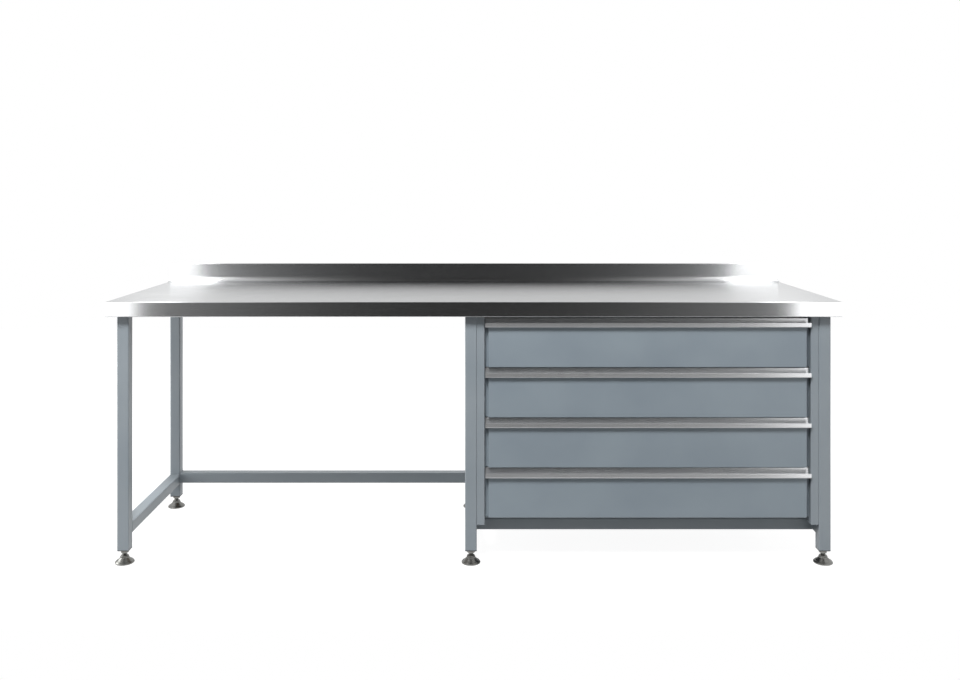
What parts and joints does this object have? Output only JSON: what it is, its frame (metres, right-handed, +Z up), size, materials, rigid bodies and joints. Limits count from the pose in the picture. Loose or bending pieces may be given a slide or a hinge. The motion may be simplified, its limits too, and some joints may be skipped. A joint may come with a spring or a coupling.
{
  "type": "jewelers bench",
  "caption": "Long work bench with a coved stainless worktop, an open knee space on the left and a drawer cabinet on the right, on levelling feet.",
  "frame": {"origin": "on the floor, in the middle of the bench's length and depth", "axes": "+X to the right along the bench, +Y to the back, +Z up"},
  "size_m": [2.5, 0.7, 0.975],
  "materials": {
    "stainless": "brushed satin",
    "core_board": "raw board, sealed edge",
    "powder_coat": "fine-textured blue-grey powder coat",
    "grip_metal": "satin anodised",
    "runner_zinc": "bright zinc plated",
    "foot_steel": "polished steel",
    "insert_plastic": "moulded black"
  },
  "bodies": {
    "bench": {"worktop_skin": "stainless", "worktop_core": "core_board", "leg_front_left": "powder_coat", "leg_front_mid": "powder_coat", "leg_front_right": "powder_coat", "leg_rear_left": "powder_coat", "leg_rear_mid": "powder_coat", "leg_rear_right": "powder_coat", "top_rail_front_left": "powder_coat", "top_rail_front_right": "powder_coat", "top_rail_rear_left": "powder_coat", "top_rail_rear_right": "powder_coat", "top_rail_side_left": "powder_coat", "top_rail_side_mid": "powder_coat", "top_rail_side_right": "powder_coat", "stretcher_side_left": "powder_coat", "stretcher_side_mid": "powder_coat", "stretcher_side_right": "powder_coat", "stretcher_rear": "powder_coat", "cabinet_rail_front": "powder_coat", "cabinet_rail_rear": "powder_coat", "cabinet_side_left": "powder_coat", "cabinet_side_right": "powder_coat", "cabinet_bottom": "powder_coat", "cabinet_back": "powder_coat", "cabinet_runners": "runner_zinc", "foot_inserts": "insert_plastic", "foot_lock_nuts": "foot_steel"},
    "drawer_1": {"drawer_1_front": "powder_coat", "drawer_1_grip": "grip_metal", "drawer_1_box": "powder_coat", "drawer_1_runners": "runner_zinc"},
    "mid_runners_1": {"drawer_1_mid_runners": "runner_zinc"},
    "drawer_2": {"drawer_2_front": "powder_coat", "drawer_2_grip": "grip_metal", "drawer_2_box": "powder_coat", "drawer_2_runners": "runner_zinc"},
    "mid_runners_2": {"drawer_2_mid_runners": "runner_zinc"},
    "drawer_3": {"drawer_3_front": "powder_coat", "drawer_3_grip": "grip_metal", "drawer_3_box": "powder_coat", "drawer_3_runners": "runner_zinc"},
    "mid_runners_3": {"drawer_3_mid_runners": "runner_zinc"},
    "drawer_4": {"drawer_4_front": "powder_coat", "drawer_4_grip": "grip_metal", "drawer_4_box": "powder_coat", "drawer_4_runners": "runner_zinc"},
    "mid_runners_4": {"drawer_4_mid_runners": "runner_zinc"},
    "foot_front_left": {"foot_front_left_base": "foot_steel", "foot_front_left_stud": "foot_steel"},
    "foot_front_mid": {"foot_front_mid_base": "foot_steel", "foot_front_mid_stud": "foot_steel"},
    "foot_front_right": {"foot_front_right_base": "foot_steel", "foot_front_right_stud": "foot_steel"},
    "foot_rear_left": {"foot_rear_left_base": "foot_steel", "foot_rear_left_stud": "foot_steel"},
    "foot_rear_mid": {"foot_rear_mid_base": "foot_steel", "foot_rear_mid_stud": "foot_steel"},
    "foot_rear_right": {"foot_rear_right_base": "foot_steel", "foot_rear_right_stud": "foot_steel"}
  },
  "joints": [
    {"name": "drawer_1_slide", "type": "slide", "parent": "bench", "child": "drawer_1", "axis": [0, -1, 0], "range_m": [0, 0.5]},
    {"name": "mid_runners_1_slide", "type": "slide", "parent": "bench", "child": "mid_runners_1", "axis": [0, -1, 0], "range_m": [0, 0.25]},
    {"name": "drawer_2_slide", "type": "slide", "parent": "bench", "child": "drawer_2", "axis": [0, -1, 0], "range_m": [0, 0.5]},
    {"name": "mid_runners_2_slide", "type": "slide", "parent": "bench", "child": "mid_runners_2", "axis": [0, -1, 0], "range_m": [0, 0.25]},
    {"name": "drawer_3_slide", "type": "slide", "parent": "bench", "child": "drawer_3", "axis": [0, -1, 0], "range_m": [0, 0.5]},
    {"name": "mid_runners_3_slide", "type": "slide", "parent": "bench", "child": "mid_runners_3", "axis": [0, -1, 0], "range_m": [0, 0.25]},
    {"name": "drawer_4_slide", "type": "slide", "parent": "bench", "child": "drawer_4", "axis": [0, -1, 0], "range_m": [0, 0.5]},
    {"name": "mid_runners_4_slide", "type": "slide", "parent": "bench", "child": "mid_runners_4", "axis": [0, -1, 0], "range_m": [0, 0.25]},
    {"name": "foot_front_left_screw", "type": "slide", "parent": "bench", "child": "foot_front_left", "axis": [0, 0, -1], "range_m": [-0.008, 0.025]},
    {"name": "foot_front_mid_screw", "type": "slide", "parent": "bench", "child": "foot_front_mid", "axis": [0, 0, -1], "range_m": [-0.008, 0.025]},
    {"name": "foot_front_right_screw", "type": "slide", "parent": "bench", "child": "foot_front_right", "axis": [0, 0, -1], "range_m": [-0.008, 0.025]},
    {"name": "foot_rear_left_screw", "type": "slide", "parent": "bench", "child": "foot_rear_left", "axis": [0, 0, -1], "range_m": [-0.008, 0.025]},
    {"name": "foot_rear_mid_screw", "type": "slide", "parent": "bench", "child": "foot_rear_mid", "axis": [0, 0, -1], "range_m": [-0.008, 0.025]},
    {"name": "foot_rear_right_screw", "type": "slide", "parent": "bench", "child": "foot_rear_right", "axis": [0, 0, -1], "range_m": [-0.008, 0.025]}
  ],
  "couplings": [
    {"joint": "mid_runners_1_slide", "follows": "drawer_1_slide", "ratio": 0.5},
    {"joint": "mid_runners_2_slide", "follows": "drawer_2_slide", "ratio": 0.5},
    {"joint": "mid_runners_3_slide", "follows": "drawer_3_slide", "ratio": 0.5},
    {"joint": "mid_runners_4_slide", "follows": "drawer_4_slide", "ratio": 0.5}
  ]
}
